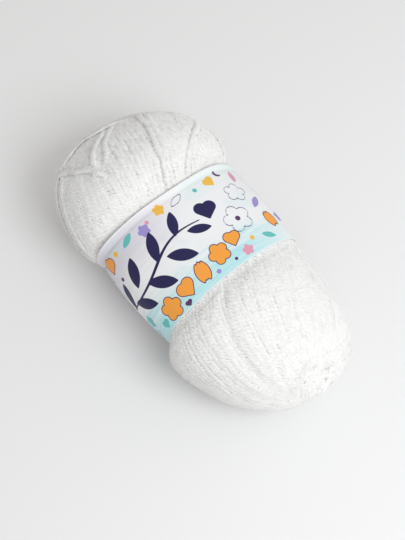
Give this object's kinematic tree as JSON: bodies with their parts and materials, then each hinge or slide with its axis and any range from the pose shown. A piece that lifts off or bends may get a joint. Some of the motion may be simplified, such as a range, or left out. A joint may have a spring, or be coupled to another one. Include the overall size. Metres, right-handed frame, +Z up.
{
  "type": "acrylic yarn skein with a paper band",
  "caption": "Oval pull skein of soft white acrylic yarn, drawn in at the waist by a printed paper band, for knitting and crochet.",
  "frame": {"origin": "on the surface that the skein lies on, under the middle of its box", "axes": "+X along the skein's long axis, towards its narrower end; +Z up; +Y completes the right-handed frame"},
  "size_m": [0.1699, 0.0878, 0.0634],
  "materials": {
    "yarn": "soft matte brushed acrylic with a fine glitter thread",
    "band_paper": "satin printed paper, pale lilac to aqua"
  },
  "bodies": {
    "root": {"skein": "yarn", "band": "band_paper"}
  },
  "joints": []
}
